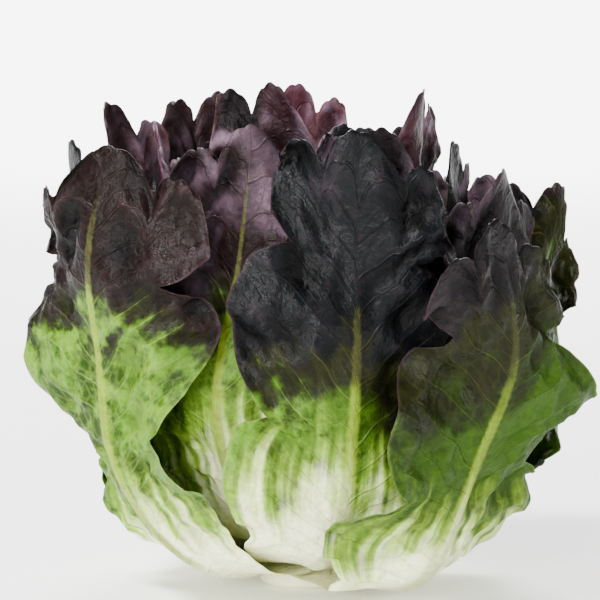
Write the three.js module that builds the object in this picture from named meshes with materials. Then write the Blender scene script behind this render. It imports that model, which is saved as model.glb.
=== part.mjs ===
// A head of red oak leaf lettuce, standing on the cut face of its stem.
// Millimetres, +Z up, origin at the middle of the cut face, the fullest side towards -Y.
// The head is a short white stem and a spiral of separate leaves. Leaf 1 is the youngest, in the heart,
// and the last leaf is the oldest, lowest and outermost.
import * as THREE from "three";

// Driving dimensions
const LEAF_COUNT = 36;
const STEM_RADIUS = 17;
const STEM_FOOT_HEIGHT = 3;
const STEM_DOME_HEIGHT = 38;
const CUT_FACE_RADIUS = 15.5;
const STEM_SIDES = 24;
const SEAT_GAP = 0.4;
const HEAD_DEPTH_SHARE = 0.92;
const TOP_SLOPE = 8;

// Each leaf follows a nested bowl. A bowl's profile is a Bezier curve of radius and height, given for the
// youngest, the middle and the oldest leaf. The first point of each curve lies on the stem.
const HEART_BOWL = [[0, 0], [4, 60], [9, 92], [9, 138], [17, 188]];
const MIDDLE_BOWL = [[0, 0], [38, 28], [59, 62], [54, 134], [66, 196]];
const OUTER_BOWL = [[0, 0], [84, 1], [113, 24], [104, 116], [112, 176]];
const HEART_SEAT_ANGLE = 1.4;
const OUTER_SEAT_ANGLE = 0.1;

// Leaf blade
const GOLDEN_ANGLE = THREE.MathUtils.degToRad(137.508);
const LAST_LEAF_DIRECTION = THREE.MathUtils.degToRad(-47);
const HEART_HALF_WIDTH = 15;
const HALF_WIDTH_GAIN = 30;
const STALK_HALF_WIDTH = 14;
const BLADE_START = -0.1;
const OLD_STALK_SPREAD = 0.25;
const LARGEST_WRAP = 1.6;
const SIDE_LOBES = 2.6;
const LOBES_START = 0.3;
const LOBE_DEPTH = 0.48;
const TOP_NOTCH = 0.5;
const TOP_LOBE_RISE = 0.06;
const TOP_ROUNDING = 0.08;
const TIP_SHARE = 0.75;
const LOBE_SWEEP = 0.03;
const HEART_RUFFLE = 0.1;
const OUTER_RUFFLE = 2.5;
const SWAY_GAIN = 0.13;
const SEED = 59;
const BLADE_THICKNESS = 0.8;
const RIB_HEIGHT = 3.4;
const RIB_HALF_WIDTH = 6;
const LARGE_LEAF_AGE = 0.34;
const LARGE_LEAF_COLUMNS = [-1, -0.76, -0.5, -0.32, -0.15, 0.15, 0.32, 0.5, 0.76, 1];
const SMALL_LEAF_COLUMNS = [-1, -0.5, -0.32, -0.15, 0.15, 0.32, 0.5, 1];
const LARGE_STALK_ROWS = [0, 0.1, 0.2];
const SMALL_STALK_ROWS = [0, 0.14];
const LOBE_ROWS = [0, 0.32, 0.68, 1, 1.32, 1.68, 2, 2.3, 2.6];

const clamp = THREE.MathUtils.clamp;
const mix = THREE.MathUtils.lerp;
const smooth = (low, high, value) => {
  const share = clamp((value - low) / (high - low), 0, 1);
  return share * share * (3 - 2 * share);
};

// A repeatable draw between 0 and 1 for one leaf and one trait.
const draw = (leaf, trait) => {
  const wave = Math.sin((leaf + SEED) * 12.9898 + trait * 78.233) * 43758.5453;
  return wave - Math.floor(wave);
};

// Stem radius at a height: a straight foot, then a half ellipse up to the growing tip.
function stemRadius(height) {
  const rise = (height - STEM_FOOT_HEIGHT) / STEM_DOME_HEIGHT;
  if (rise <= 0) return STEM_RADIUS;
  return rise >= 1 ? 0 : STEM_RADIUS * Math.sqrt(1 - rise * rise);
}

// A value that passes through its heart, middle and outer settings as the age goes from 0 to 1.
const byAge = (heart, middle, outer, age) =>
  heart * (1 - age) * (1 - 2 * age) + middle * 4 * age * (1 - age) + outer * age * (2 * age - 1);

// Radius and height on the bowl of a given age, at a share of the way from the stem to the rim.
function bowlPoint(age, share) {
  const seat = mix(HEART_SEAT_ANGLE, OUTER_SEAT_ANGLE, age);
  const points = HEART_BOWL.map((point, index) =>
    [0, 1].map((axis) => byAge(point[axis], MIDDLE_BOWL[index][axis], OUTER_BOWL[index][axis], age)),
  );
  points[0] = [
    STEM_RADIUS * Math.cos(seat) + SEAT_GAP,
    STEM_FOOT_HEIGHT + STEM_DOME_HEIGHT * Math.sin(seat),
  ];
  const rest = 1 - share;
  const weights = [
    rest ** 4,
    4 * rest ** 3 * share,
    6 * rest ** 2 * share ** 2,
    4 * rest * share ** 3,
    share ** 4,
  ];
  return [0, 1].map((axis) => weights.reduce((sum, weight, index) => sum + weight * points[index][axis], 0));
}

// The traits of one leaf, all from its place in the spiral.
function leafTraits(number) {
  const age = (number - 0.5) / LEAF_COUNT;
  return {
    number,
    age,
    direction: LAST_LEAF_DIRECTION + (LEAF_COUNT - number) * GOLDEN_ANGLE + 0.1 * (draw(number, 1) - 0.5),
    halfWidth: HEART_HALF_WIDTH + HALF_WIDTH_GAIN * age ** 0.6 * (0.94 + 0.12 * draw(number, 2)),
    reach:
      mix(0.68, 0.93, smooth(0, 0.35, age)) - 0.1 * smooth(0.86, 1, age) + 0.2 * (draw(number, 3) - 0.6),
    lean: mix(0.1, 0.45, age) * (draw(number, 4) - 0.5),
    cup: mix(0.5, 2.2, age) * (draw(number, 5) - 0.4),
    ruffles: 2.1 + 0.9 * draw(number, 6),
    ruffleRise: mix(HEART_RUFFLE, OUTER_RUFFLE, age),
    rufflePhase: draw(number, 7),
    lobePhase: draw(number, 8),
    tipCurl: mix(0.5, 2.6, age) * (draw(number, 9) - 0.4),
    skew: 0.09 * (draw(number, 10) - 0.5),
    sway: mix(0.06, SWAY_GAIN, age) * (0.6 + 0.4 * draw(number, 12)),
    swayPhase: draw(number, 13),
  };
}

// A row of rounded lobes with narrow notches between them: 1 in the middle of a lobe, 0 in a notch.
const lobeRow = (turn) => Math.abs(Math.sin(Math.PI * turn)) ** 0.6;

// Half width of a leaf at a share of its length, with its lobes (lobed 1) or without them (lobed 0).
function halfWidthAt(leaf, share, lobed) {
  const seatRadius = bowlPoint(leaf.age, 0)[0];
  const stalk = Math.min(STALK_HALF_WIDTH, 0.85 * seatRadius) * (1 - 0.2 * smooth(0, 0.12, share));
  const blade = smooth(BLADE_START - OLD_STALK_SPREAD * leaf.age ** 2, 0.6, share);
  const close = Math.sqrt(1 - (1 - TIP_SHARE ** 2) * clamp((share - 0.7) / 0.3, 0, 1) ** 2.2);
  const turn = (SIDE_LOBES * (share - LOBES_START)) / (1 - LOBES_START);
  const depth = lobed * LOBE_DEPTH * smooth(LOBES_START - 0.12, 0.48, share);
  const width = mix(stalk, leaf.halfWidth, blade) * (1 + 0.1 * depth - depth * (1 - lobeRow(turn))) * close;
  const limit = LARGEST_WRAP * bowlPoint(leaf.age, leaf.reach * share)[0];
  return (width * limit) / (width ** 4 + limit ** 4) ** 0.25;
}

// The whole head's slow bends, which every leaf shares, so that neighbours stay nested.
function bendHead(radius, angle, height) {
  const free = smooth(12, 95, Math.hypot(radius, height));
  const swell =
    1 +
    free *
      (0.04 * Math.sin(3 * angle + height / 48 + 0.6) +
        0.03 * Math.sin(5 * angle - height / 31) +
        0.028 * Math.sin(9 * angle + height / 15 + 2));
  const turned = angle + 0.07 * free * Math.sin(2 * angle + height / 37 + 1.1);
  const lift =
    free * (radius / 100) * (5 * Math.sin(2 * angle + 0.4) + 4 * Math.sin(4 * angle + radius / 22)) -
    (height / 190) * (radius / 100) * TOP_SLOPE * Math.cos(angle);
  return [
    radius * swell * Math.cos(turned),
    radius * swell * Math.sin(turned) * HEAD_DEPTH_SHARE,
    height + lift,
  ];
}

// The leaf's middle surface. x is the distance across from the midrib and share the place along it.
function bladePoint(leaf, x, share) {
  const edge = Math.abs(x) / leaf.halfWidth;
  const side = Math.sign(x);
  const free = smooth(0.1, 0.5, share);
  const topPlace = x / leaf.halfWidth / TIP_SHARE;
  const topRow = lobeRow(0.5 + topPlace / TOP_NOTCH / 2);
  const topLobes = TOP_LOBE_RISE * (topRow - 0.6) - TOP_ROUNDING * topPlace ** 2;
  const slant = (LOBE_SWEEP * edge ** 2 + (leaf.skew * x) / leaf.halfWidth) * smooth(0.2, 0.6, share);
  const along = leaf.reach * (share + slant + topLobes * smooth(0.78, 1, share));
  const wave = Math.sin(2 * Math.PI * (leaf.ruffles * share + leaf.rufflePhase + 0.3 * side));
  const layers =
    leaf.ruffleRise * edge ** 1.5 * wave +
    leaf.cup * edge ** 2 +
    mix(0.05, 0.6, leaf.age) * Math.sin(2 * Math.PI * (share + leaf.lobePhase)) +
    leaf.tipCurl * smooth(0.72, 1, share);
  const age = leaf.age + (free * layers) / LEAF_COUNT;
  const [radius, height] = bowlPoint(age, along);
  const across = x / bowlPoint(leaf.age, along)[0];
  const sway = leaf.sway * smooth(0.05, 0.5, share) * Math.sin(2 * Math.PI * (0.8 * share + leaf.swayPhase));
  const turned = leaf.direction + leaf.lean * share ** 2 + sway + across;
  return new THREE.Vector3(...bendHead(radius, turned, height));
}

// Thickness beyond half the blade on the outer face, where the midrib stands out.
function ribRise(leaf, x, share) {
  const size = mix(0.12, 1, leaf.age);
  const halfWidth = size * mix(RIB_HALF_WIDTH, 1.6, smooth(0, 0.8, share));
  const rise = size * RIB_HEIGHT * (1 - share) ** 1.3;
  return rise * Math.exp(-((x / halfWidth) ** 2));
}

// Moves a point that would sink into the stem out to the stem's side.
function clearOfStem(point) {
  const radius = Math.hypot(point.x, point.y);
  const least = stemRadius(point.z) + SEAT_GAP;
  if (point.z < STEM_FOOT_HEIGHT + STEM_DOME_HEIGHT && radius < least) {
    point.x *= least / radius;
    point.y *= least / radius;
  }
  return point;
}

// The outer and inner face points of a leaf at one place.
function facePair(leaf, x, share) {
  const step = 0.01;
  const middle = bladePoint(leaf, x, share);
  const acrossLeaf = bladePoint(leaf, x + step, share).sub(bladePoint(leaf, x - step, share));
  const alongLeaf = bladePoint(leaf, x, share + step / 10).sub(bladePoint(leaf, x, share - step / 10));
  const outward = acrossLeaf.cross(alongLeaf).normalize();
  const outer = middle.clone().addScaledVector(outward, BLADE_THICKNESS / 2 + ribRise(leaf, x, share));
  const inner = middle.clone().addScaledVector(outward, -BLADE_THICKNESS / 2);
  return [clearOfStem(outer), clearOfStem(inner)];
}

// A leaf as one closed thin solid: two faces split alike, joined round the edge.
function leafGeometry(leaf) {
  const large = leaf.age > LARGE_LEAF_AGE;
  const columns = large ? LARGE_LEAF_COLUMNS : SMALL_LEAF_COLUMNS;
  const lobeRows = LOBE_ROWS.map((turn) => LOBES_START + (turn / SIDE_LOBES) * (1 - LOBES_START));
  const shares = [...(large ? LARGE_STALK_ROWS : SMALL_STALK_ROWS), ...lobeRows];
  const rows = shares.length - 1;
  const outer = [];
  const inner = [];
  for (const share of shares) {
    const plain = halfWidthAt(leaf, share, 0);
    const lobed = halfWidthAt(leaf, share, 1);
    for (const place of columns) {
      const [outerPoint, innerPoint] = facePair(leaf, place * mix(plain, lobed, Math.abs(place)), share);
      outer.push(outerPoint);
      inner.push(innerPoint);
    }
  }
  const points = [...outer, ...inner];
  const index = [];
  const width = columns.length;
  const under = outer.length;
  const wall = (from, to) => index.push(from, from + under, to, to, from + under, to + under);
  for (let row = 0; row < rows; row += 1) {
    for (let column = 0; column < width - 1; column += 1) {
      const a = row * width + column;
      const [b, c, d] = [a + 1, a + width + 1, a + width];
      index.push(a, b, c, a, c, d);
      index.push(a + under, c + under, b + under, a + under, d + under, c + under);
    }
    wall((row + 1) * width, row * width);
    wall((row + 1) * width - 1, (row + 2) * width - 1);
  }
  for (let column = 0; column < width - 1; column += 1) {
    wall(column, column + 1);
    wall(rows * width + column + 1, rows * width + column);
  }
  const geometry = new THREE.BufferGeometry().setFromPoints(points);
  geometry.setIndex(index);
  geometry.computeVertexNormals();
  return geometry;
}

function stemGeometry() {
  const profile = [[0, 0], [CUT_FACE_RADIUS, 0], [STEM_RADIUS, 1.5], [STEM_RADIUS, STEM_FOOT_HEIGHT]];
  const steps = 8;
  for (let step = 1; step < steps; step += 1) {
    const angle = (step / steps) * (Math.PI / 2);
    profile.push([
      STEM_RADIUS * Math.cos(angle),
      STEM_FOOT_HEIGHT + STEM_DOME_HEIGHT * Math.sin(angle),
    ]);
  }
  profile.push([0, STEM_FOOT_HEIGHT + STEM_DOME_HEIGHT]);
  const geometry = new THREE.LatheGeometry(
    profile.map(([radius, height]) => new THREE.Vector2(radius, height)),
    STEM_SIDES,
  );
  return geometry.rotateX(Math.PI / 2);
}

const stemMaterial = new THREE.MeshStandardMaterial({ color: 0xe9ecd2, roughness: 0.55, metalness: 0 });
const redLeafMaterial = new THREE.MeshStandardMaterial({ color: 0x4a2a35, roughness: 0.45, metalness: 0 });
const greenLeafMaterial = new THREE.MeshStandardMaterial({ color: 0x6f8f3a, roughness: 0.5, metalness: 0 });

const head = new THREE.Group();

const stem = new THREE.Mesh(stemGeometry(), stemMaterial);
stem.name = "stem";
head.add(stem);

for (let number = 1; number <= LEAF_COUNT; number += 1) {
  const leaf = leafTraits(number);
  const material = leaf.age > LARGE_LEAF_AGE ? redLeafMaterial : greenLeafMaterial;
  const mesh = new THREE.Mesh(leafGeometry(leaf), material);
  mesh.name = `leaf_${String(number).padStart(2, "0")}`;
  head.add(mesh);
}

export default head;
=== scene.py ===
"""Red oak leaf lettuce: the finished leaves, the stem and the studio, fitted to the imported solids.

Every leaf is one surface, a function of the place across it and the share of its length, with the same
formulas and the same values as the solid that it stands for. Here it gets its fine outline, its side
veins, the blisters between them, broad folds, the frill of its edge and its colours. Lengths are
millimetres until a mesh is made.
"""
import math
from types import SimpleNamespace

import bpy
import numpy as np
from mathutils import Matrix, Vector


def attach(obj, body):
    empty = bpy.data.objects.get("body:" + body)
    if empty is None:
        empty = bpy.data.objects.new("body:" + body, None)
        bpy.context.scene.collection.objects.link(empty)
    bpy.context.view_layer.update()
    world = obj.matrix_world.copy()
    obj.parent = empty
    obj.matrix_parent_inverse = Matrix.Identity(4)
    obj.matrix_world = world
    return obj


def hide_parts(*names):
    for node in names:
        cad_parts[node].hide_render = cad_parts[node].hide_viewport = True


bl_info = {
    "name": "Red Oak Leaf Lettuce",
    "version": (1, 0, 0),
    "blender": (4, 5, 0),
    "location": "View3D > Sidebar > Lettuce",
    "description": "Grows a head of red oak leaf lettuce leaf by leaf and sets it on a pale studio floor",
    "category": "Add Mesh",
}

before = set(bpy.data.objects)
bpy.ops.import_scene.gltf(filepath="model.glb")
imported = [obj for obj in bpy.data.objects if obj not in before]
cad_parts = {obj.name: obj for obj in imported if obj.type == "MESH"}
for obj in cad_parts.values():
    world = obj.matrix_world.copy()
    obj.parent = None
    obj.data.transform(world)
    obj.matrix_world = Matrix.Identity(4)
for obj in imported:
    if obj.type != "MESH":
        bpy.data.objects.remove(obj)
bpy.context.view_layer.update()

# The head's form, as in the solids
LEAF_COUNT = sum(name.startswith("leaf_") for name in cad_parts)
STEM_RADIUS = 17
STEM_FOOT_HEIGHT = 3
STEM_DOME_HEIGHT = 38
CUT_FACE_RADIUS = 15.5
SEAT_GAP = 0.4
HEAD_DEPTH_SHARE = 0.92
TOP_SLOPE = 8
HEART_BOWL = [(0, 0), (4, 60), (9, 92), (9, 138), (17, 188)]
MIDDLE_BOWL = [(0, 0), (38, 28), (59, 62), (54, 134), (66, 196)]
OUTER_BOWL = [(0, 0), (84, 1), (113, 24), (104, 116), (112, 176)]
HEART_SEAT_ANGLE = 1.4
OUTER_SEAT_ANGLE = 0.1
GOLDEN_ANGLE = math.radians(137.508)
LAST_LEAF_DIRECTION = math.radians(-47)
HEART_HALF_WIDTH = 15
HALF_WIDTH_GAIN = 30
STALK_HALF_WIDTH = 14
BLADE_START = -0.1
OLD_STALK_SPREAD = 0.25
LARGEST_WRAP = 1.6
SIDE_LOBES = 2.6
LOBES_START = 0.3
LOBE_DEPTH = 0.48
TOP_NOTCH = 0.5
TOP_LOBE_RISE = 0.06
TOP_ROUNDING = 0.08
TIP_SHARE = 0.75
LOBE_SWEEP = 0.03
HEART_RUFFLE = 0.1
OUTER_RUFFLE = 2.5
SWAY_GAIN = 0.13
SEED = 59
RIB_HEIGHT = 3.4
RIB_HALF_WIDTH = 6
RIB_TIP_HALF_WIDTH = 1.6
LARGE_LEAF_AGE = 0.34
LAYER_STEP = 2.6

# Small scallops of the lobes, which the solids don't carry
SCALLOP_DEPTH = 0.02
SCALLOPS_PER_LOBE = 3.6

# Length up the blade of a leaf with a reach of 1, which spaces the veins and the folds
BLADE_LENGTH = 205

# Fineness of the finished surfaces: places across and along the youngest and the oldest leaf
YOUNGEST_LEAF_GRID = (41, 60)
OLDEST_LEAF_GRID = (89, 122)

# Fineness of the stem: sides, rings up the side, their share on the straight foot, rings on the cut face
STEM_SIDES = 96
STEM_RINGS = 60
FOOT_RING_SHARE = 0.3
CUT_FACE_RINGS = 11

# Noises of a leaf from coarse to fine: waves to the metre, octaves and roughness
LEAF_NOISES = {
    "patches": (42, 3.0, 0.5),
    "mottle": (130, 3.0, 0.5),
    "pimples": (260, 1.0, 0.5),
    "grain": (420, 4.0, 0.6),
    "specks": (1300, 2.0, 0.5),
}

# Floor, in metres: how far it reaches, where and how wide it sweeps up, and in how many places
FLOOR_REACH = 10.0
SWEEP_START = 3.5
SWEEP_RADIUS = 2.0
SWEEP_PLACES = 24

# Strength of the even light from all round, and the nearest distance that the camera shows, in metres
STUDIO_GLOW = 0.24
CAMERA_NEAR = 0.01

# Square lights, hidden from the camera: name, place and aim in metres, width in metres, power in watts
HEAD_MIDDLE = (0, 0, 0.1)
LIGHTS = (
    ("key_light", (-0.8, -0.65, 1.5), HEAD_MIDDLE, 0.35, 74),
    ("fill_light", (1.3, -0.6, 0.5), HEAD_MIDDLE, 0.7, 14),
    ("low_light", (-0.55, -1.4, 0.34), (0, 0, 0.03), 0.5, 44),
    ("back_light", (0.2, 1.2, 1.4), HEAD_MIDDLE, 0.8, 34),
    ("backdrop_light", (0.0, 3.0, 3.2), (0, 5.0, 0.6), 2.0, 750),
)


class LettuceHeadSettings(bpy.types.PropertyGroup):
    """Sizes of the fine surface, which the solids don't carry."""

    blade_thickness: bpy.props.FloatProperty(
        name="Blade thickness", description="Thickness of a leaf between its veins",
        default=0.0005, min=0.0002, max=0.001, unit="LENGTH",
    )
    blister_height: bpy.props.FloatProperty(
        name="Blister height", description="How far an outer leaf's blade bulges between its side veins",
        default=0.0022, min=0.0, max=0.004, unit="LENGTH",
    )
    side_vein_spacing: bpy.props.FloatProperty(
        name="Side vein spacing", description="Distance between side veins along the midrib",
        default=0.0100, min=0.005, max=0.04, unit="LENGTH",
    )
    crease_depth: bpy.props.FloatProperty(
        name="Crease depth", description="Depth of the creases that run across the blade",
        default=0.0022, min=0.0, max=0.006, unit="LENGTH",
    )
    frill_depth: bpy.props.FloatProperty(
        name="Frill depth", description="Depth of the small waves along a leaf's edge",
        default=0.0022, min=0.0, max=0.008, unit="LENGTH",
    )
    frill_waves: bpy.props.FloatProperty(
        name="Frill waves", description="Small waves along each edge of a leaf",
        default=6.5, min=0.0, max=20.0,
    )


class LettuceColourSettings(bpy.types.PropertyGroup):
    """Colours of the leaves and the stem, and where the green turns red."""

    cream: bpy.props.FloatVectorProperty(
        name="Cream", description="Thick pale foot of each leaf, and the stem",
        subtype="COLOR", default=(0.90, 0.91, 0.58), min=0.0, max=1.0,
    )
    bright_green: bpy.props.FloatVectorProperty(
        name="Bright green", description="Blade low down, where it is thin",
        subtype="COLOR", default=(0.062, 0.150, 0.006), min=0.0, max=1.0,
    )
    # Deep green: the darker patches of the blade, and also the painted shade in its hollows
    deep_green_and_painted_shade: bpy.props.FloatVectorProperty(
        name="Deep green", description="Darker patches of the green blade",
        subtype="COLOR", default=(0.0140, 0.0350, 0.0014), min=0.0, max=1.0,
    )
    lime: bpy.props.FloatVectorProperty(
        name="Lime", description="Yellow-green between the cream foot and the green blade",
        subtype="COLOR", default=(0.29, 0.46, 0.045), min=0.0, max=1.0,
    )
    vein_green: bpy.props.FloatVectorProperty(
        name="Vein green", description="Side veins in the green part",
        subtype="COLOR", default=(0.17, 0.26, 0.05), min=0.0, max=1.0,
    )
    rib_olive: bpy.props.FloatVectorProperty(
        name="Upper midrib", description="Midrib where it runs through the red part",
        subtype="COLOR", default=(0.052, 0.053, 0.013), min=0.0, max=1.0,
    )
    rib_green: bpy.props.FloatVectorProperty(
        name="Midrib", description="Yellow-green midrib half way up",
        subtype="COLOR", default=(0.165, 0.235, 0.014), min=0.0, max=1.0,
    )
    dark_red: bpy.props.FloatVectorProperty(
        name="Dark red", description="Inner face of the red part, a dark maroon",
        subtype="COLOR", default=(0.0160, 0.0048, 0.0066), min=0.0, max=1.0,
    )
    dull_red: bpy.props.FloatVectorProperty(
        name="Dull red", description="Outer face of the red part, almost black",
        subtype="COLOR", default=(0.0042, 0.0018, 0.0015), min=0.0, max=1.0,
    )
    young_red: bpy.props.FloatVectorProperty(
        name="Young red", description="Thin red tips of the younger leaves",
        subtype="COLOR", default=(0.100, 0.024, 0.042), min=0.0, max=1.0,
    )
    vein_red: bpy.props.FloatVectorProperty(
        name="Vein red", description="Side veins in the red part",
        subtype="COLOR", default=(0.024, 0.012, 0.011), min=0.0, max=1.0,
    )
    blue_black: bpy.props.FloatVectorProperty(
        name="Blue black", description="Red part of the darkest leaves",
        subtype="COLOR", default=(0.0027, 0.0036, 0.0044), min=0.0, max=1.0,
    )
    rim: bpy.props.FloatVectorProperty(
        name="Rim", description="Thin edge of the red part",
        subtype="COLOR", default=(0.055, 0.028, 0.034), min=0.0, max=1.0,
    )
    olive: bpy.props.FloatVectorProperty(
        name="Olive", description="Brown olive between the green and the red",
        subtype="COLOR", default=(0.0066, 0.0074, 0.0018), min=0.0, max=1.0,
    )
    pale_green: bpy.props.FloatVectorProperty(
        name="Pale green", description="Pale mottled blade on the left side of the head",
        subtype="COLOR", default=(0.098, 0.192, 0.014), min=0.0, max=1.0,
    )
    # Painted sheen: grey lavender laid into the red part's colour in patches, in place of a sheen of light
    painted_sheen: bpy.props.FloatVectorProperty(
        name="Bloom", description="Grey lavender haze on the red part",
        subtype="COLOR", default=(0.220, 0.140, 0.195), min=0.0, max=1.0,
    )
    cut_brown: bpy.props.FloatVectorProperty(
        name="Cut brown", description="Browned ring of the cut face",
        subtype="COLOR", default=(0.42, 0.24, 0.10), min=0.0, max=1.0,
    )
    red_line: bpy.props.FloatProperty(
        name="Red line", description="Height above the cut face where the green turns red",
        default=0.114, min=0.0, max=0.2, unit="LENGTH",
    )
    red_slant: bpy.props.FloatProperty(
        name="Red slant", description="How much lower the red reaches for each unit to the right",
        default=0.06, min=-1.0, max=1.0,
    )


class LettuceStageSettings(bpy.types.PropertyGroup):
    """Camera, floor and lights."""

    camera_distance: bpy.props.FloatProperty(
        name="Camera distance", description="From the camera to the middle of the head",
        default=1.1, min=0.3, max=5.0, unit="LENGTH",
    )
    camera_elevation: bpy.props.FloatProperty(
        name="Camera elevation", description="Angle of the view above the horizon",
        default=math.radians(5.5), subtype="ANGLE",
    )
    frame_width: bpy.props.FloatProperty(
        name="Frame width", description="Width of the picture at the middle of the head",
        default=0.2362, min=0.05, max=2.0, unit="LENGTH",
    )
    aim: bpy.props.FloatVectorProperty(
        name="Aim", description="Point in the middle of the picture",
        subtype="TRANSLATION", default=(-0.0012, 0.0, 0.1127),
    )
    floor_colour: bpy.props.FloatVectorProperty(
        name="Floor", description="Pale floor and background",
        subtype="COLOR", default=(0.97, 0.97, 0.97), min=0.0, max=1.0,
    )


# Shapes as arrays

def smooth(low, high, value):
    """Smooth step: 0 below low, 1 above high, and 3t^2 - 2t^3 between them."""
    share = np.clip((value - low) / (high - low), 0, 1)
    return share * share * (3 - 2 * share)


def mix(first, second, share):
    """Straight line from the first value to the second."""
    return first + (second - first) * share


def draw(leaf, trait):
    """Repeatable draw between 0 and 1 for one leaf and one trait: what a large sine has past its decimal
    point."""
    wave = math.sin((leaf + SEED) * 12.9898 + trait * 78.233) * 43758.5453
    return wave - math.floor(wave)


def stem_radius(height):
    """Stem radius at a height: a straight foot, then a half ellipse up to the growing tip."""
    rise = np.clip((height - STEM_FOOT_HEIGHT) / STEM_DOME_HEIGHT, 0, 1)
    return STEM_RADIUS * np.sqrt(1 - rise * rise)


def by_age(heart, middle, outer, age):
    """Parabola in age through the heart, middle and outer settings at ages 0, 1/2 and 1."""
    return heart * (1 - age) * (1 - 2 * age) + middle * 4 * age * (1 - age) + outer * age * (2 * age - 1)


def bowl_point(age, share):
    """Radius and height on the bowl of an age: a Bezier curve of five points, each moved by age, that
    starts on the stem at the seat angle."""
    seat = mix(HEART_SEAT_ANGLE, OUTER_SEAT_ANGLE, age)
    points = [
        [by_age(heart[axis], middle[axis], outer[axis], age) for axis in (0, 1)]
        for heart, middle, outer in zip(HEART_BOWL, MIDDLE_BOWL, OUTER_BOWL)
    ]
    points[0] = [
        STEM_RADIUS * np.cos(seat) + SEAT_GAP,
        STEM_FOOT_HEIGHT + STEM_DOME_HEIGHT * np.sin(seat),
    ]
    rest = 1 - share
    weights = [rest**4, 4 * rest**3 * share, 6 * rest**2 * share**2, 4 * rest * share**3, share**4]
    return [sum(weight * point[axis] for weight, point in zip(weights, points)) for axis in (0, 1)]


def leaf_traits(number):
    """All the traits of one leaf, from its place in the spiral: number 1 is the youngest. Most run in a
    straight line with age, times or plus a draw of their own, and the direction turns by the golden
    angle from leaf to leaf."""
    age = (number - 0.5) / LEAF_COUNT
    return {
        "number": number,
        "age": age,
        "direction": (
            LAST_LEAF_DIRECTION + (LEAF_COUNT - number) * GOLDEN_ANGLE + 0.1 * (draw(number, 1) - 0.5)
        ),
        "half_width": HEART_HALF_WIDTH + HALF_WIDTH_GAIN * age**0.6 * (0.94 + 0.12 * draw(number, 2)),
        "reach": (
            mix(0.68, 0.93, smooth(0, 0.35, age))
            - 0.1 * smooth(0.86, 1, age)
            + 0.2 * (draw(number, 3) - 0.6)
        ),
        "lean": mix(0.1, 0.45, age) * (draw(number, 4) - 0.5),
        "cup": mix(0.5, 2.2, age) * (draw(number, 5) - 0.4),
        "ruffles": 2.1 + 0.9 * draw(number, 6),
        "ruffle_rise": mix(HEART_RUFFLE, OUTER_RUFFLE, age),
        "ruffle_phase": draw(number, 7),
        "lobe_phase": draw(number, 8),
        "tip_curl": mix(0.5, 2.6, age) * (draw(number, 9) - 0.4),
        "skew": 0.09 * (draw(number, 10) - 0.5),
        "tone": 2 * draw(number, 11) - 1,
        "sway": mix(0.06, SWAY_GAIN, age) * (0.6 + 0.4 * draw(number, 12)),
        "sway_phase": draw(number, 13),
    }


def lobe_row(turn):
    """Row of rounded lobes with narrow notches: 1 in the middle of a lobe, 0 in a notch."""
    return np.abs(np.sin(np.pi * turn)) ** 0.6


def half_width_at(leaf, share, lobed):
    """Half width of a leaf: a stalk that widens smoothly to the blade, times the side lobes with their
    scallops (when lobed is 1) and a rounded closing towards the tip, held under the largest wrap round the
    bowl."""
    seat_radius = bowl_point(leaf["age"], 0)[0]
    stalk = min(STALK_HALF_WIDTH, 0.85 * seat_radius) * (1 - 0.2 * smooth(0, 0.12, share))
    blade = smooth(BLADE_START - OLD_STALK_SPREAD * leaf["age"] ** 2, 0.6, share)
    close = np.sqrt(1 - (1 - TIP_SHARE**2) * np.clip((share - 0.7) / 0.3, 0, 1) ** 2.2)
    turn = SIDE_LOBES * (share - LOBES_START) / (1 - LOBES_START)
    depth = lobed * LOBE_DEPTH * smooth(LOBES_START - 0.12, 0.48, share)
    scallops = lobe_row(SCALLOPS_PER_LOBE * turn + leaf["skew"] * 9) - 0.7
    scallops = lobed * SCALLOP_DEPTH * smooth(LOBES_START, 0.5, share) * scallops
    lobes = 1 + 0.1 * depth - depth * (1 - lobe_row(turn)) + scallops
    width = mix(stalk, leaf["half_width"], blade) * lobes * close
    limit = LARGEST_WRAP * bowl_point(leaf["age"], leaf["reach"] * share)[0]
    return width * limit / (width**4 + limit**4) ** 0.25


def bend_head(radius, angle, height):
    """Slow bends that every leaf shares: a swell of the radius, a turn of the angle and a lift of the
    height, each made of sines of the angle, the radius and the height, and a top that slopes."""
    free = smooth(12, 95, np.hypot(radius, height))
    swell = 1 + free * (
        0.04 * np.sin(3 * angle + height / 48 + 0.6)
        + 0.03 * np.sin(5 * angle - height / 31)
        + 0.028 * np.sin(9 * angle + height / 15 + 2)
    )
    turned = angle + 0.07 * free * np.sin(2 * angle + height / 37 + 1.1)
    lift = free * (radius / 100) * (
        5 * np.sin(2 * angle + 0.4) + 4 * np.sin(4 * angle + radius / 22)
    ) - (height / 190) * (radius / 100) * TOP_SLOPE * np.cos(angle)
    return np.stack(
        [
            radius * swell * np.cos(turned),
            radius * swell * np.sin(turned) * HEAD_DEPTH_SHARE,
            height + lift,
        ],
        axis=-1,
    )


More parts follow.
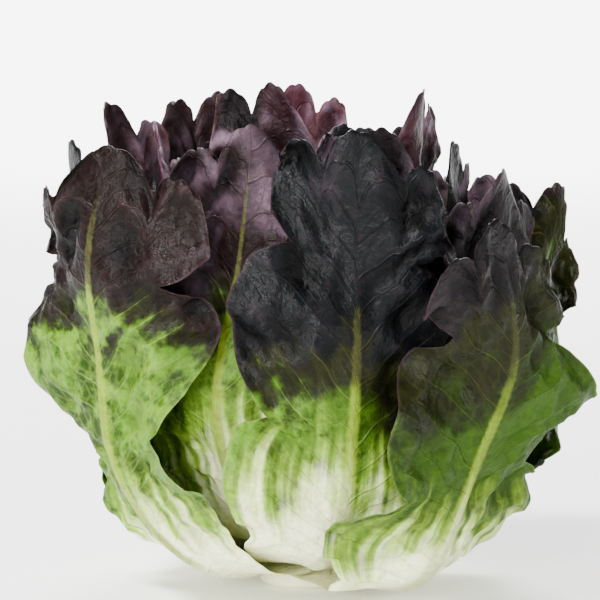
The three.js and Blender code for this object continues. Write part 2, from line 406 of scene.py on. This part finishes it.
def blade_point(leaf, x, share, frill):
    """Middle surface of a leaf. The bowl of the leaf's own age, moved by layers: ruffle, cup and frill
    grow with the distance from the midrib, and the tip curls. Then the bends of the whole head."""
    edge = np.abs(x) / leaf["half_width"]
    side = np.sign(x)
    free = smooth(0.1, 0.5, share)
    top_place = x / leaf["half_width"] / TIP_SHARE
    top_row = lobe_row(0.5 + top_place / TOP_NOTCH / 2)
    top_scallops = SCALLOP_DEPTH / 3 * lobe_row(2.3 * top_place / TOP_NOTCH + leaf["lobe_phase"])
    top_lobes = TOP_LOBE_RISE * (top_row - 0.6) - TOP_ROUNDING * top_place**2 + top_scallops
    slant = (LOBE_SWEEP * edge**2 + leaf["skew"] * x / leaf["half_width"]) * smooth(0.2, 0.6, share)
    along = leaf["reach"] * (share + slant + top_lobes * smooth(0.78, 1, share))
    wave = np.sin(2 * np.pi * (leaf["ruffles"] * share + leaf["ruffle_phase"] + 0.3 * side))
    layers = (
        leaf["ruffle_rise"] * edge**1.5 * wave
        + leaf["cup"] * edge**2
        + mix(0.05, 0.6, leaf["age"]) * np.sin(2 * np.pi * (share + leaf["lobe_phase"]))
        + leaf["tip_curl"] * smooth(0.72, 1, share)
        + frill
    )
    age = leaf["age"] + free * layers / LEAF_COUNT
    radius, height = bowl_point(age, along)
    across = x / bowl_point(leaf["age"], along)[0]
    sway = leaf["sway"] * smooth(0.05, 0.5, share) * np.sin(2 * np.pi * (0.8 * share + leaf["sway_phase"]))
    return bend_head(radius, leaf["direction"] + leaf["lean"] * share**2 + sway + across, height)


def normals_of(points):
    """Unit normals of a grid of points: the cross product of its two difference directions."""
    across = np.gradient(points, axis=1)
    along = np.gradient(points, axis=0)
    normal = np.cross(across, along)
    return normal / np.maximum(np.linalg.norm(normal, axis=-1, keepdims=True), 1e-9)


def slow_noise(u, v, phase):
    """Smooth wandering value between about -1 and 1: four sines that cross each other."""
    return 0.35 * (
        np.sin(1.9 * u + 1.1 * v + 7 * phase)
        + np.sin(-1.3 * u + 2.3 * v + 11 * phase)
        + np.sin(3.1 * u + 2.7 * v + 17 * phase)
        + np.sin(3.7 * v - 2.2 * u + 23 * phase)
    )


def vein_places(leaf, x, share, spacing):
    """Two running numbers over a leaf: the first is whole on each side vein, which leaves the midrib and
    sweeps up and out, and the second counts the small veins that cross between two side veins."""
    length = BLADE_LENGTH * leaf["reach"]
    distance = np.abs(x)
    side = np.where(x < 0, 0.0, 0.5)
    wander = slow_noise(x / 14, share * length / 14, leaf["ruffle_phase"])
    first = (share * length - 0.85 * distance + 0.006 * distance**2) / spacing + side + 0.22 * wander
    second = (distance + 0.35 * share * length) / (1.15 * spacing) + 0.3 * wander
    return first, second


def blister(leaf, x, share, first, second):
    """Bulge of the blade, from 0 to about 1: high in each cell between two side veins and two cross veins,
    flat on the veins, near the midrib and in the stalk."""
    edge = np.abs(x) / leaf["half_width"]
    cell = np.abs(np.sin(np.pi * first)) ** 0.8
    brick = np.abs(np.sin(np.pi * (second + 0.5 * np.floor(first)))) ** 0.9
    grown = smooth(0.14, 0.42, share) * smooth(0.03, 0.3, edge) * (1 - 0.55 * smooth(0.75, 1.05, edge))
    uneven = 0.75 + 0.5 * slow_noise(x / 25, share * 6, leaf["lobe_phase"])
    return grown * uneven * cell * (0.35 + 0.65 * brick)


def creases(leaf, x, share):
    """Folds across the blade: about 0.6 on a rounded line and about -1.2 half way between two lines. The
    lines are where a wandering value passes through zero, and a small number under the root rounds them.
    A broad set of folds counts most, and a fine set is added."""
    length = BLADE_LENGTH * leaf["reach"]
    coarse = slow_noise(x / 16, share * length / 18, leaf["ruffle_phase"] + leaf["number"])
    fine = slow_noise(x / 5.5 + 2 * coarse, share * length / 6.5, leaf["lobe_phase"] + leaf["number"])
    broad_fold = 1.1 - 2.3 * np.sqrt(coarse**2 + 0.05)
    fine_fold = 1 - 2.4 * np.sqrt(fine**2 + 0.03)
    return 0.88 * broad_fold + 0.12 * fine_fold


def frill(leaf, place, share, settings):
    """Small waves of the edge, in layers: two sines along the edge, the second finer, that grow with the
    third and the sixth power of the distance from the midrib."""
    side = np.sign(place)
    drift = 0.05 * slow_noise(share * 9, 0 * share, leaf["lobe_phase"] + side)
    turn = settings.frill_waves * (share + drift)
    waves = np.sin(2 * np.pi * (turn + leaf["ruffle_phase"] + 0.4 * side))
    fine_waves = np.sin(2 * np.pi * (2.7 * turn + leaf["lobe_phase"] + 0.3 * side))
    size = settings.frill_depth * 1000 / LAYER_STEP * mix(0.3, 1, leaf["age"])
    return size * (np.abs(place) ** 3 * waves + 0.1 * np.abs(place) ** 6 * fine_waves)


def leaf_surface(leaf, settings):
    """Outer and inner face of one leaf on a grid, in millimetres, with the marks that colour it. The
    middle surface moves along its normal by folds and blisters. Each face lies half the blade's thickness
    off it, and a bell curve raises the outer face along the midrib."""
    columns = round(mix(YOUNGEST_LEAF_GRID[0], OLDEST_LEAF_GRID[0], leaf["age"]))
    rows = round(mix(YOUNGEST_LEAF_GRID[1], OLDEST_LEAF_GRID[1], leaf["age"]))
    across = np.sin(np.linspace(-1, 1, columns) * np.pi / 2)
    place, share = np.meshgrid(across, np.linspace(0, 1, rows))
    edge = np.abs(place)
    plain = half_width_at(leaf, share, 0)
    lobed = half_width_at(leaf, share, 1)
    x = place * mix(plain, lobed, edge)
    size = mix(0.3, 1, leaf["age"])

    middle = blade_point(leaf, x, share, frill(leaf, place, share, settings))
    first, second = vein_places(leaf, x, share, settings.side_vein_spacing * 1000)
    bulge = blister(leaf, x, share, first, second)
    fold = creases(leaf, x, share) * smooth(0.12, 0.4, share) * smooth(0.02, 0.25, edge)
    relief = size * 1000 * (settings.crease_depth * fold - settings.blister_height * bulge)
    middle = middle + normals_of(middle) * relief[..., None]

    rib_size = mix(0.12, 1, leaf["age"])
    rib_half_width = rib_size * mix(RIB_HALF_WIDTH, RIB_TIP_HALF_WIDTH, smooth(0, 0.8, share))
    rib = np.exp(-((x / rib_half_width) ** 2))
    rib_rise = rib_size * RIB_HEIGHT * (1 - share) ** 1.3 * rib
    normal = normals_of(middle)
    half = settings.blade_thickness * 500 * (1 - 0.6 * smooth(0.9, 1, edge))
    outer = middle + normal * (half + rib_rise)[..., None]
    inner = middle - normal * half[..., None]
    marks = {
        "rib": rib * smooth(1.02, 0.86, share),
        "first_vein": first,
        "second_vein": second,
        "bulge": bulge,
        "fold": fold,
    }
    return outer, inner, marks, place, share


def clear_of_stem(points):
    """Points that would sink into the stem, moved straight out to its side."""
    radius = np.hypot(points[..., 0], points[..., 1])
    least = stem_radius(points[..., 2]) + SEAT_GAP
    inside = (points[..., 2] < STEM_FOOT_HEIGHT + STEM_DOME_HEIGHT) & (radius < least)
    scale = np.where(inside, least / np.maximum(radius, 1e-6), 1.0)
    return points * np.stack([scale, scale, np.ones_like(scale)], axis=-1)


def stem_surface():
    """Points and three-cornered faces of the stem. A profile goes out over the cut face, round its edge,
    up the straight foot and in over a half ellipse, and is carried round with a few shallow grooves."""
    climb = np.linspace(0, 1, STEM_RINGS)
    foot = np.clip(climb / FOOT_RING_SHARE, 0, 1)
    rise = np.clip((climb - FOOT_RING_SHARE) / (1 - FOOT_RING_SHARE), 0, 1)
    height = STEM_FOOT_HEIGHT * foot + STEM_DOME_HEIGHT * np.sin(rise * np.pi / 2)
    edge_radius = mix(CUT_FACE_RADIUS, STEM_RADIUS, smooth(0, 0.7, foot))
    radius = edge_radius * np.cos(rise * np.pi / 2)
    inward = np.linspace(0, 1, CUT_FACE_RINGS + 1)[:-1]
    radius = np.concatenate([CUT_FACE_RADIUS * inward, radius])[:, None]
    height = np.concatenate([0 * inward, height])[:, None]

    sides = STEM_SIDES
    angle = np.arange(sides) * 2 * np.pi / sides
    grooves = 1 - 0.012 * (1 + np.sin(5 * angle + 1.3)) - 0.006 * (1 + np.sin(17 * angle))
    x = radius * grooves * np.cos(angle)
    y = radius * grooves * np.sin(angle)
    points = np.stack([x, y, height + 0 * angle], axis=-1)[1:-1].reshape(-1, 3)
    rows = len(points) // sides
    corner = np.arange(rows * sides).reshape(rows, sides)
    beside = np.roll(corner, -1, axis=1)
    bottom = np.full(sides, rows * sides)
    top = bottom + 1
    faces = np.concatenate([
        np.stack([bottom, beside[0], corner[0]], axis=-1),
        np.stack([corner[:-1], beside[:-1], beside[1:]], axis=-1).reshape(-1, 3),
        np.stack([corner[:-1], beside[1:], corner[1:]], axis=-1).reshape(-1, 3),
        np.stack([top, corner[-1], beside[-1]], axis=-1),
    ])
    ends = np.array([[0, 0, 0], [0, 0, STEM_FOOT_HEIGHT + STEM_DOME_HEIGHT]])
    return np.concatenate([points, ends]), faces


# Meshes

def grid_faces(rows, columns):
    """Four-cornered faces of a grid of points, turned so that they face along the grid's normal."""
    corner = np.arange(rows * columns).reshape(rows, columns)
    return np.stack(
        [corner[:-1, :-1], corner[:-1, 1:], corner[1:, 1:], corner[1:, :-1]], axis=-1
    ).reshape(-1, 4)


def rim_faces(rows, columns):
    """Faces that close the gap between the outer grid and the inner grid all round the edge."""
    corner = np.arange(rows * columns).reshape(rows, columns)
    ring = np.concatenate([corner[0, :-1], corner[:-1, -1], corner[-1, :0:-1], corner[:0:-1, 0]])
    following = np.roll(ring, -1)
    under = rows * columns
    return np.stack([ring, ring + under, following + under, following], axis=-1)


def make_mesh(name, points, faces, uv=None, marks=None):
    """A smooth mesh in metres from points in millimetres, with its own map and marks."""
    mesh = bpy.data.meshes.new(name)
    mesh.vertices.add(len(points))
    mesh.vertices.foreach_set("co", (points / 1000).astype(np.float32).ravel())
    mesh.loops.add(faces.size)
    mesh.loops.foreach_set("vertex_index", faces.astype(np.int32).ravel())
    mesh.polygons.add(len(faces))
    mesh.polygons.foreach_set("loop_start", np.arange(0, faces.size, faces.shape[1], dtype=np.int32))
    mesh.polygons.foreach_set("use_smooth", np.ones(len(faces), dtype=bool))
    mesh.update(calc_edges=True)
    if uv is not None:
        layer = mesh.uv_layers.new(name="leaf_map")
        layer.data.foreach_set("uv", uv[faces.ravel()].astype(np.float32).ravel())
    for mark, values in (marks or {}).items():
        attribute = mesh.attributes.new(mark, "FLOAT", "POINT")
        attribute.data.foreach_set("value", np.asarray(values, dtype=np.float32).ravel())
    mesh.validate()
    return mesh


def floor_mesh(name):
    """Floor that runs level and then sweeps up behind the head: a straight line, a quarter circle and an
    upright line, carried sideways."""
    turn = np.linspace(0, np.pi / 2, SWEEP_PLACES)
    curve = SWEEP_START + SWEEP_RADIUS * np.sin(turn)
    run = np.concatenate([[-FLOOR_REACH], curve, [SWEEP_START + SWEEP_RADIUS]])
    rise = np.concatenate([[0], SWEEP_RADIUS * (1 - np.cos(turn)), [FLOOR_REACH]])
    sides, run = np.meshgrid([-FLOOR_REACH, FLOOR_REACH], run)
    points = np.stack([sides, run, np.repeat(rise[:, None], 2, axis=1)], axis=-1)
    return make_mesh(name, points.reshape(-1, 3) * 1000, grid_faces(len(rise), 2))


def place_piece(name, mesh, material, node):
    """Shows a finished piece in place of its solid."""
    piece = bpy.data.objects.new(name, mesh)
    bpy.context.scene.collection.objects.link(piece)
    mesh.materials.append(material)
    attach(piece, "root")
    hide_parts(node)


def grow_leaf(number, material, settings):
    """Makes the finished piece of one leaf: its outer and inner face, joined all round the edge."""
    leaf = leaf_traits(number)
    outer, inner, marks, place, share = leaf_surface(leaf, settings)
    rows, columns = place.shape
    outer, inner = clear_of_stem(outer), clear_of_stem(inner)
    points = np.concatenate([outer.reshape(-1, 3), inner.reshape(-1, 3)])
    top = grid_faces(rows, columns)
    bottom = top[:, ::-1] + rows * columns
    faces = np.concatenate([top, bottom, rim_faces(rows, columns)])
    uv = np.stack([place * 0.5 + 0.5, share], axis=-1).reshape(-1, 2)
    both = {mark: np.tile(values.ravel(), 2) for mark, values in marks.items()}
    both["inner_face"] = np.repeat([0.0, 1.0], rows * columns)
    both["tone"] = np.full(2 * rows * columns, leaf["tone"])
    both["youth"] = np.full(2 * rows * columns, 1 - leaf["age"])
    node = f"leaf_{number:02d}"
    mesh = make_mesh(node + "_fine", points, faces, np.tile(uv, (2, 1)), both)
    place_piece(node + "_fine", mesh, material, node)


def grow_leaves(scene, material_name, youngest, oldest):
    """Makes the finished pieces of the leaves between two ages, in one material."""
    material = leaf_finish(material_name, scene.lettuce_colours)
    for number in range(1, LEAF_COUNT + 1):
        if youngest < leaf_traits(number)["age"] <= oldest:
            grow_leaf(number, material, scene.lettuce_head)


# Materials

class Wire:
    """A number inside a material. Arithmetic on it adds the Math nodes that work it out."""

    def __init__(self, finish, socket):
        self.finish = finish
        self.socket = socket

    def math(self, operation, *values):
        """The result of one Math node."""
        node = self.finish.node("ShaderNodeMath", {"operation": operation}, dict(enumerate(values)))
        return Wire(self.finish, node.outputs[0])

    def __add__(self, other):
        return self.math("ADD", self, other)

    def __radd__(self, other):
        return self.math("ADD", other, self)

    def __sub__(self, other):
        return self.math("SUBTRACT", self, other)

    def __rsub__(self, other):
        return self.math("SUBTRACT", other, self)

    def __mul__(self, other):
        return self.math("MULTIPLY", self, other)

    def __rmul__(self, other):
        return self.math("MULTIPLY", other, self)

    def __truediv__(self, other):
        return self.math("DIVIDE", self, other)

    def __rtruediv__(self, other):
        return self.math("DIVIDE", other, self)

    def __pow__(self, other):
        return self.math("POWER", self, other)

    def __abs__(self):
        return self.math("ABSOLUTE", self)

    def smooth(self, low, high):
        """0 below low, 1 above high, smooth between them. High may be the lower number."""
        node = self.finish.node(
            "ShaderNodeMapRange",
            {"interpolation_type": "SMOOTHSTEP"},
            {"Value": self, "From Min": low, "From Max": high},
        )
        return Wire(self.finish, node.outputs["Result"])


class Finish:
    """A material that is built up node by node."""

    def __init__(self, name):
        self.material = bpy.data.materials.new(name)
        self.material.use_nodes = True
        self.tree = self.material.node_tree
        self.tree.nodes.clear()

    def node(self, kind, settings=None, inputs=None):
        """Adds a node, sets its own settings first and then fills or links its sockets."""
        node = self.tree.nodes.new(kind)
        for setting, value in (settings or {}).items():
            setattr(node, setting, value)
        for key, value in (inputs or {}).items():
            socket = node.inputs[key]
            if isinstance(value, Wire):
                self.tree.links.new(value.socket, socket)
            elif isinstance(value, bpy.types.NodeSocket):
                self.tree.links.new(value, socket)
            elif socket.type == "RGBA":
                socket.default_value = (*value, 1.0)
            else:
                socket.default_value = value
        return node

    def mark(self, name):
        """A mark of the mesh, such as the distance from the midrib."""
        node = self.node("ShaderNodeAttribute", {"attribute_name": name, "attribute_type": "GEOMETRY"})
        return Wire(self, node.outputs["Fac"])

    def parts(self, vector):
        """The three numbers of a vector."""
        node = self.node("ShaderNodeSeparateXYZ", inputs={0: vector})
        return [Wire(self, output) for output in node.outputs]

    def noise(self, point, scale, detail, roughness=0.5):
        """Noise between about 0 and 1."""
        node = self.node(
            "ShaderNodeTexNoise",
            {"noise_dimensions": "3D"},
            {"Vector": point, "Scale": scale, "Detail": detail, "Roughness": roughness},
        )
        return Wire(self, node.outputs[0])

    def join(self, x, y, z):
        """A vector of three numbers."""
        return self.node("ShaderNodeCombineXYZ", inputs={0: x, 1: y, 2: z}).outputs[0]

    def cell_edges(self, point):
        """Distance to the nearest edge of a net of random cells."""
        settings = {"feature": "DISTANCE_TO_EDGE", "voronoi_dimensions": "3D"}
        node = self.node("ShaderNodeTexVoronoi", settings, {"Vector": point, "Scale": 1.0})
        return Wire(self, node.outputs["Distance"])

    def bump(self, strength, distance, relief):
        """A normal that follows a relief."""
        inputs = {"Strength": strength, "Distance": distance, "Height": relief}
        return self.node("ShaderNodeBump", inputs=inputs).outputs[0]

    def blend(self, share, first, second):
        """A colour between two colours."""
        node = self.node("ShaderNodeMix", {"data_type": "RGBA"}, {0: share, 6: first, 7: second})
        return node.outputs[2]

    def shade(self, colour, share):
        """A colour made darker or lighter by a number."""
        node = self.node("ShaderNodeVectorMath", {"operation": "SCALE"}, {0: colour, "Scale": share})
        return node.outputs[0]

    def surface(self, **inputs):
        """Ends the material with one surface shader."""
        sockets = {name.replace("_", " "): value for name, value in inputs.items()}
        shader = self.node("ShaderNodeBsdfPrincipled", inputs=sockets)
        output = self.node("ShaderNodeOutputMaterial")
        self.tree.links.new(shader.outputs[0], output.inputs["Surface"])
        return self.material


def leaf_readings(f):
    """What the leaf's colours depend on: place in the head in millimetres, place on the leaf, the leaf's
    own marks, noises from coarse to fine, and lines along the side veins and the net between them."""
    r = SimpleNamespace()
    point = f.node("ShaderNodeTexCoord").outputs["Object"]
    r.side_place = f.parts(point)[0] * 1000
    r.height = f.parts(point)[2] * 1000
    r.right_side = r.side_place.smooth(-30, 50)
    leaf_map = f.node("ShaderNodeUVMap", {"uv_map": "leaf_map"}).outputs["UV"]
    r.across, r.along = f.parts(leaf_map)[:2]
    r.edge = abs(r.across * 2 - 1)
    for mark in ("rib", "bulge", "fold", "inner_face", "tone", "youth"):
        setattr(r, mark, f.mark(mark))

    for name, (scale, detail, roughness) in LEAF_NOISES.items():
        setattr(r, name, f.noise(point, scale, detail, roughness))
    r.streaks = f.noise(f.join(r.across * 16, r.along * 2.5, r.tone * 9), 1.0, 3.0)

    first, second = f.mark("first_vein"), f.mark("second_vein")
    from_side_vein = abs(first.math("FRACT", first + 0.5) - 0.5)
    vein_width = 0.055 - 0.042 * r.edge
    r.side_vein = (from_side_vein / vein_width).smooth(1.2, 0.3) * r.edge.smooth(1.0, 0.6)
    r.net = f.cell_edges(f.join(first * 2.4, second * 1.7, r.tone * 9)).smooth(0.16, 0.0)
    return r


def green_part(f, r, colours):
    """Mottled green, paler on the left side of the head and deeper on the right, that runs in streaks into
    lime and then cream towards the foot of the leaf. The inner leaves are covered and stay pale higher up,
    and so do all leaves near the middle of the head's front and back."""
    shadow = 0.5 * r.patches + 0.5 * r.mottle + 0.25 * (r.grain - 0.5)
    green = f.blend(shadow.smooth(0.58, 0.40), colours.bright_green, colours.deep_green_and_painted_shade)
    pale = r.side_place.smooth(-10, -75) * r.mottle.smooth(0.44, 0.62)
    green = f.blend(pale * 0.65, green, colours.pale_green)
    green = f.blend(r.side_vein * 0.35 + r.net * 0.2, green, colours.vein_green)
    # Painted shade: deep green laid into the hollows of the blisters and the folds
    painted_hollow_shade = 0.6 * r.bulge - 0.5 * r.fold
    green = f.blend(painted_hollow_shade.smooth(0.1, 0.9) * 0.45, green, colours.deep_green_and_painted_shade)
    green = f.blend(r.right_side * 0.85, green, colours.deep_green_and_painted_shade)

    uneven = 0.2 * (r.patches - 0.5) + 0.1 * (r.mottle - 0.5) + 0.45 * (r.streaks - 0.5)
    covered = 0.12 * r.youth.smooth(0.05, 0.5)
    middle = 0.05 * r.side_place.smooth(-45, -5) * r.side_place.smooth(85, 45)
    foot = (r.along + uneven - covered - middle - 0.1 * r.rib + 0.08 * r.edge).smooth(0.60, 0.17)
    green = f.blend(foot.smooth(0.0, 0.55) * r.mottle.smooth(0.25, 0.55), green, colours.lime)
    return f.blend(foot.smooth(0.24, 0.92), green, f.shade(colours.cream, 0.86 + 0.26 * r.streaks))


def red_part(f, r, colours):
    """Maroon that is blue black on the darkest leaves and rosy on the youngest, with a painted lavender
    sheen in patches, most of it on the young leaves, a little more on the crests of the folds as a painted
    highlight, and painted shade that makes it darker between them."""
    red = f.blend(r.inner_face, colours.dull_red, colours.dark_red)
    blue = 0.9 - 0.9 * r.tone.smooth(-0.6, 0.1) * (1 - 0.7 * r.right_side)
    red = f.blend(blue, red, colours.blue_black)
    red = f.blend(r.youth.smooth(0.25, 0.8) * r.tone.smooth(-0.7, 0.5) * 0.85, red, colours.young_red)
    # Painted sheen: lavender patches, most on the young leaves, more where the blade bulges and high up
    # the head
    painted_sheen_share = 0.55 * r.patches + 0.25 * r.mottle + 0.2 * r.bulge + 0.08 * r.tone
    painted_sheen_share = painted_sheen_share + 0.12 * r.youth * r.height.smooth(110, 180)
    painted_sheen_share = painted_sheen_share.smooth(0.46, 0.70) * (0.02 + 0.73 * r.youth.smooth(0.12, 0.5))
    red = f.blend(painted_sheen_share, red, colours.painted_sheen)
    # Painted highlight: a little of the lavender sheen colour on the crests of the folds
    painted_crest_highlight = r.fold - 0.8 * r.bulge + 0.8 * (r.mottle - 0.5)
    red = f.blend(painted_crest_highlight.smooth(0.1, 1.0) * 0.07, red, colours.painted_sheen)
    veins = (0.2 * r.side_vein + 0.15 * r.net) * r.tone.smooth(-0.6, 0.2)
    red = f.blend(veins + 0.22 * r.grain.smooth(0.5, 0.7), red, colours.vein_red)
    # Painted shade: the red part darker in the hollows of the folds and blisters, lighter on the crests
    return f.shade(red, 0.12 + 1.1 * (r.fold - 0.5 * r.bulge).smooth(-1.1, 0.6))


def red_line_height(r, colours):
    """Height in millimetres at which the green turns red. It falls a little towards the right, and lies
    higher on a leaf with a high tone, at the midrib, in the heart and far out on the right. It wanders
    with the noises."""
    level = colours.red_line * 1000 - colours.red_slant * r.side_place
    far_right = r.side_place.smooth(76, 98)
    heart = r.youth.smooth(0.6, 1.0) * r.edge.smooth(1.0, 0.5)
    wandering = 44 * (r.patches - 0.5) + 36 * (r.mottle - 0.5)
    on_leaf = 12 * r.rib + 3 * r.side_vein - 8 * r.bulge - 14 * r.edge * r.edge
    return level + 42 * far_right + 10 * r.tone + 48 * heart + wandering + on_leaf


def with_midrib(f, r, colours, blade, olive, red):
    """The blade with the midrib laid over it: cream at the foot, then yellow-green, then olive. It fades
    in the red part, most of all on the darkest leaves, and on the right side of the head. Its border is
    uneven."""
    midrib = f.blend(r.along.smooth(0.10, 0.30), colours.cream, colours.rib_green)
    midrib = f.blend(olive * r.along.smooth(0.3, 0.6), midrib, colours.rib_olive)
    strong_red = red * (0.25 + 0.45 * r.tone.smooth(0.5, -0.5))
    fading = strong_red + (0.36 + 0.24 * olive) * r.right_side
    shown = (r.rib + 0.6 * (r.grain - 0.5)).smooth(0.14 + 0.3 * red, 0.65 + 0.15 * red)
    return f.blend(shown * (0.9 - fading), blade, midrib)


def leaf_finish(name, colours):
    """Green part below a wandering line, olive along the line and red above it, then the midrib and the
    rim. The olive reaches lower on the right side of the head. The crests of the folds are glossier than
    the hollows, and the veins stand out on the outer face."""
    f = Finish(name)
    r = leaf_readings(f)
    above_line = r.height - red_line_height(r, colours)
    olive = above_line.smooth(-16 - 34 * r.right_side, -4 - 14 * r.right_side)
    red = above_line.smooth(-6, 9)
    olive_part = f.blend(0.25 * r.side_vein + 0.1 * r.net, colours.olive, colours.rib_olive)
    colour = f.blend(olive, green_part(f, r, colours), olive_part)
    colour = f.blend(red, colour, red_part(f, r, colours))
    colour = with_midrib(f, r, colours, colour, olive, red)
    rim = f.blend(olive, colours.vein_green, colours.rim)
    colour = f.blend(r.edge.smooth(0.965, 1.0) * 0.3, colour, rim)
    colour = f.shade(colour, 0.55 + 0.9 * r.grain)

    crest_gloss = (r.fold - 0.4 * r.bulge).smooth(-0.6, 0.6)
    outer_veins = (0.6 * r.side_vein + 0.12 * r.net) * (1 - 2 * r.inner_face)
    relief = 0.8 * r.pimples + 0.5 * r.grain + 0.3 * r.specks + outer_veins
    return f.surface(
        Base_Color=colour,
        Roughness=0.42 + 0.2 * (r.grain - 0.5) - 0.14 * crest_gloss,
        Normal=f.bump(0.7, 0.0010, relief),
        Subsurface_Weight=0.1,
        Subsurface_Radius=(0.9, 1.0, 0.35),
        Subsurface_Scale=0.0015,
        Specular_IOR_Level=0.07,
    )


def stem_finish(name, colours):
    """Cream flesh that turns green further up, and a cut face with a browned ring and a paler middle."""
    f = Finish(name)
    point = f.node("ShaderNodeTexCoord").outputs["Object"]
    x, y, z = [part * 1000 for part in f.parts(point)]
    radius = (x * x + y * y) ** 0.5
    patches = f.noise(point, 160, 4.0)
    grain = f.noise(point, 900, 3.0)
    cut = z.smooth(1.6, 0.2)
    ring = radius.smooth(9, 12) * radius.smooth(14.5, 13)
    brown = cut * (0.35 + 0.5 * ring + 0.5 * (patches - 0.5))
    colour = f.blend(z.smooth(2, 25), colours.cream, colours.vein_green)
    colour = f.blend(brown, colour, colours.cut_brown)
    colour = f.shade(colour, 0.85 + 0.3 * grain)
    return f.surface(
        Base_Color=colour,
        Roughness=0.5 + 0.2 * (patches - 0.5),
        Normal=f.bump(0.4, 0.0004, patches + 0.4 * grain),
        Subsurface_Weight=0.2,
        Subsurface_Radius=(1.0, 0.9, 0.5),
        Subsurface_Scale=0.003,
    )


def floor_finish(name, colour):
    """Matt pale floor with a faint unevenness."""
    f = Finish(name)
    point = f.node("ShaderNodeTexCoord").outputs["Object"]
    cloud = f.noise(point, 6, 2.0)
    return f.surface(Base_Color=f.shade(colour, 0.985 + 0.03 * cloud), Roughness=0.85)


# Operators

class LETTUCE_OT_stem(bpy.types.Operator):
    """Make the short stem that carries the leaves"""

    bl_idname = "lettuce.stem"
    bl_label = "Stem"

    def execute(self, context):
        points, faces = stem_surface()
        mesh = make_mesh("stem_fine", points, faces)
        material = stem_finish("stem_flesh", context.scene.lettuce_colours)
        place_piece("stem_fine", mesh, material, "stem")
        return {"FINISHED"}


class LETTUCE_OT_heart_leaves(bpy.types.Operator):
    """Grow the young leaves of the heart"""

    bl_idname = "lettuce.heart_leaves"
    bl_label = "Heart Leaves"

    def execute(self, context):
        grow_leaves(context.scene, "heart_leaf_blade", 0, LARGE_LEAF_AGE)
        return {"FINISHED"}


class LETTUCE_OT_outer_leaves(bpy.types.Operator):
    """Grow the large middle and outer leaves"""

    bl_idname = "lettuce.outer_leaves"
    bl_label = "Outer Leaves"

    def execute(self, context):
        grow_leaves(context.scene, "leaf_blade", LARGE_LEAF_AGE, 1)
        return {"FINISHED"}


class LETTUCE_OT_stage(bpy.types.Operator):
    """Set the pale floor, the soft lights and the camera"""

    bl_idname = "lettuce.stage"
    bl_label = "Stage"

    def execute(self, context):
        scene = context.scene
        settings = scene.lettuce_stage

        floor = bpy.data.objects.new("floor", floor_mesh("floor"))
        floor.data.materials.append(floor_finish("floor_matt", settings.floor_colour))
        scene.collection.objects.link(floor)

        world = bpy.data.worlds.new("studio")
        world.use_nodes = True
        background = world.node_tree.nodes["Background"]
        background.inputs["Color"].default_value = (1.0, 1.0, 1.0, 1.0)
        background.inputs["Strength"].default_value = STUDIO_GLOW
        scene.world = world

        middle = Vector(settings.aim)
        for name, place, target, size, power in LIGHTS:
            lamp = bpy.data.lights.new(name, "AREA")
            lamp.shape = "SQUARE"
            lamp.size = size
            lamp.energy = power
            light = bpy.data.objects.new(name, lamp)
            light.location = place
            light.visible_camera = False
            light.rotation_euler = (Vector(target) - Vector(place)).to_track_quat("-Z", "Y").to_euler()
            scene.collection.objects.link(light)

        camera_data = bpy.data.cameras.new("camera")
        camera_data.lens = camera_data.sensor_width * settings.camera_distance / settings.frame_width
        camera_data.clip_start = CAMERA_NEAR
        camera = bpy.data.objects.new("camera", camera_data)
        tilt = settings.camera_elevation
        back = Vector((0, -math.cos(tilt), math.sin(tilt)))
        camera.location = middle + back * settings.camera_distance
        camera.rotation_euler = (-back).to_track_quat("-Z", "Y").to_euler()
        scene.collection.objects.link(camera)
        scene.camera = camera
        return {"FINISHED"}


class LETTUCE_PT_panel(bpy.types.Panel):
    """Lists the steps that make the head"""

    bl_idname = "LETTUCE_PT_panel"
    bl_label = "Oak Leaf Lettuce"
    bl_space_type = "VIEW_3D"
    bl_region_type = "UI"
    bl_category = "Lettuce"

    def draw(self, context):
        scene = context.scene
        for group in (scene.lettuce_head, scene.lettuce_colours, scene.lettuce_stage):
            box = self.layout.box()
            for name in group.__annotations__:
                box.prop(group, name)
        for step in (LETTUCE_OT_stem, LETTUCE_OT_heart_leaves, LETTUCE_OT_outer_leaves, LETTUCE_OT_stage):
            self.layout.operator(step.bl_idname)


CLASSES = (
    LettuceHeadSettings,
    LettuceColourSettings,
    LettuceStageSettings,
    LETTUCE_OT_stem,
    LETTUCE_OT_heart_leaves,
    LETTUCE_OT_outer_leaves,
    LETTUCE_OT_stage,
    LETTUCE_PT_panel,
)


def register():
    for item in CLASSES:
        bpy.utils.register_class(item)
    bpy.types.Scene.lettuce_head = bpy.props.PointerProperty(type=LettuceHeadSettings)
    bpy.types.Scene.lettuce_colours = bpy.props.PointerProperty(type=LettuceColourSettings)
    bpy.types.Scene.lettuce_stage = bpy.props.PointerProperty(type=LettuceStageSettings)


def unregister():
    del bpy.types.Scene.lettuce_stage
    del bpy.types.Scene.lettuce_colours
    del bpy.types.Scene.lettuce_head
    for item in reversed(CLASSES):
        bpy.utils.unregister_class(item)


def main():
    """Makes every piece and the stage."""
    register()
    bpy.ops.lettuce.stem()
    bpy.ops.lettuce.heart_leaves()
    bpy.ops.lettuce.outer_leaves()
    bpy.ops.lettuce.stage()


if __name__ == "__main__":
    main()
